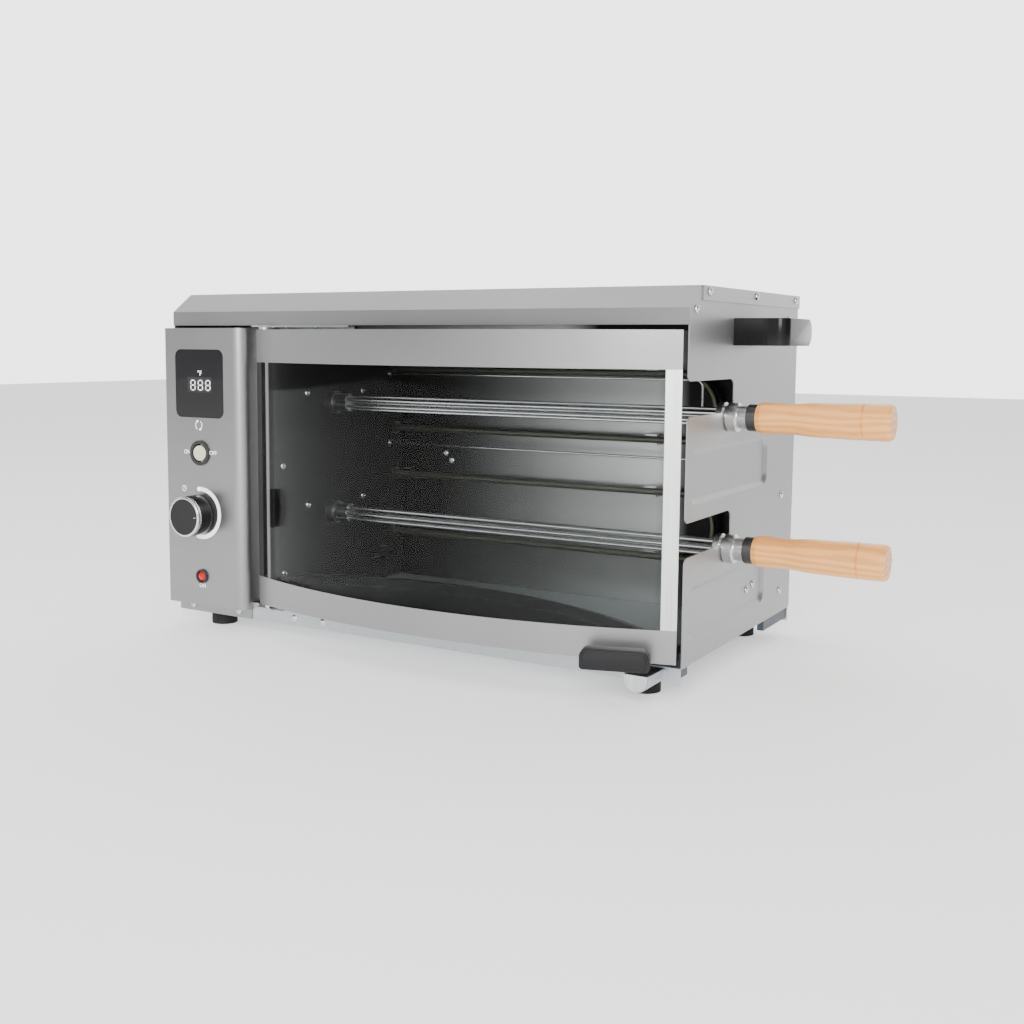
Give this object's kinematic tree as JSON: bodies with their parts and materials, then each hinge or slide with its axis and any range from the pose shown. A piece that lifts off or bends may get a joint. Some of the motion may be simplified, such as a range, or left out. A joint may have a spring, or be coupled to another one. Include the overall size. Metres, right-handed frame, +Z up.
{
  "type": "electric skewer grill",
  "caption": "Table-top electric grill with a curved glass door, motor-driven skewers in side notches, tube heaters, a control column and a half-round grease drawer.",
  "frame": {"origin": "centre of the whole grill's box, on the surface that its feet stand on", "axes": "+X towards the skewers' wooden handles, -Y towards the front with the door, +Z up"},
  "size_m": [0.71, 0.3265, 0.3235],
  "materials": {
    "satin_sheet": "satin metallic grey paint",
    "side_sheet": "satin light grey paint",
    "galvanised": "dull bluish zinc coat",
    "inner_sheet": "dull bare steel",
    "post_sheet": "satin mid grey paint",
    "stile_aluminium": "satin",
    "tray_steel": "bright rolled steel",
    "dark_rail": "dark blue-grey paint",
    "foot_rubber": "matt black",
    "oven_glass": "clear curved glass",
    "black_glass": "gloss black window",
    "gloss_black": "gloss black",
    "satin_black": "satin black",
    "bezel_plastic": "satin dark grey",
    "cream_plastic": "semi-gloss cream",
    "red_lens": "clear red",
    "bright_steel": "bright plated",
    "socket_steel": "turned steel",
    "element_coat": "olive oxide",
    "ferrule_dark": "dark oxide",
    "handle_wood": "clear varnished",
    "motor_steel": "zinc plated",
    "board_green": "circuit board",
    "lead_sleeve": "glass-fibre sleeve"
  },
  "bodies": {
    "grill": {"top_cover": "satin_sheet", "control_panel": "satin_sheet", "left_side_panel": "side_sheet", "right_side_panel": "side_sheet", "rear_panel": "side_sheet", "base_pan": "galvanised", "drawer_runners": "galvanised", "partition_wall": "inner_sheet", "cavity_back": "inner_sheet", "cavity_roof": "inner_sheet", "element_cradles": "inner_sheet", "temperature_probe": "inner_sheet", "hinge_post": "post_sheet", "hinge_brackets": "post_sheet", "drip_tray": "tray_steel", "base_rails": "dark_rail", "rubber_feet": "foot_rubber", "display_window": "black_glass", "left_carry_handle": "gloss_black", "right_carry_handle": "gloss_black", "cord_gland": "satin_black", "switch_bezel": "bezel_plastic", "lamp_bezel": "bezel_plastic", "terminal_block": "cream_plastic", "timer_body": "cream_plastic", "lamp_lens": "red_lens", "guard_wire": "bright_steel", "hinge_pins": "bright_steel", "case_screws": "bright_steel", "upper_heating_element": "element_coat", "lower_heating_element": "element_coat", "upper_gearmotor": "motor_steel", "lower_gearmotor": "motor_steel", "display_board": "board_green", "inner_wiring": "lead_sleeve"},
    "door": {"door_upper_band": "satin_sheet", "door_lower_band": "satin_sheet", "door_glass": "oven_glass", "door_right_stile": "stile_aluminium", "door_left_stile": "stile_aluminium", "door_handle": "satin_black", "door_handle_posts": "stile_aluminium", "door_glass_clips": "stile_aluminium", "hinge_bushes": "post_sheet"},
    "grease_drawer": {"drawer_trough": "galvanised", "drawer_front": "stile_aluminium"},
    "upper_skewer": {"upper_drive_socket": "socket_steel", "upper_skewer_rods": "bright_steel", "upper_skewer_collar": "bright_steel", "upper_skewer_ferrule": "ferrule_dark", "upper_skewer_handle": "handle_wood"},
    "lower_skewer": {"lower_drive_socket": "socket_steel", "lower_skewer_rods": "bright_steel", "lower_skewer_collar": "bright_steel", "lower_skewer_ferrule": "ferrule_dark", "lower_skewer_handle": "handle_wood"},
    "timer": {"timer_knob": "gloss_black", "timer_knob_ring": "bright_steel", "timer_shaft": "bright_steel"},
    "rotation_switch": {"switch_rocker": "cream_plastic"}
  },
  "joints": [
    {"name": "door_hinge", "type": "hinge", "parent": "grill", "child": "door", "pos_m": [-0.1928, -0.11488, 0.0135], "axis": [0, 0, -1], "range_deg": [0, 100]},
    {"name": "grease_drawer_slide", "type": "slide", "parent": "grill", "child": "grease_drawer", "axis": [0, -1, 0], "range_m": [0, 0.18]},
    {"name": "upper_skewer_spin", "type": "hinge", "parent": "grill", "child": "upper_skewer", "pos_m": [-0.0435, -0.02289, 0.219], "axis": [1, 0, 0], "continuous": true},
    {"name": "lower_skewer_spin", "type": "hinge", "parent": "grill", "child": "lower_skewer", "pos_m": [-0.0435, -0.02289, 0.11], "axis": [1, 0, 0], "continuous": true},
    {"name": "timer_turn", "type": "hinge", "parent": "grill", "child": "timer", "pos_m": [-0.2665, -0.11289, 0.11239], "axis": [0, 1, 0], "range_deg": [0, 270]},
    {"name": "rotation_switch_tilt", "type": "hinge", "parent": "grill", "child": "rotation_switch", "pos_m": [-0.2665, -0.12289, 0.17151], "axis": [0, 0, -1], "range_deg": [0, 12]}
  ]
}
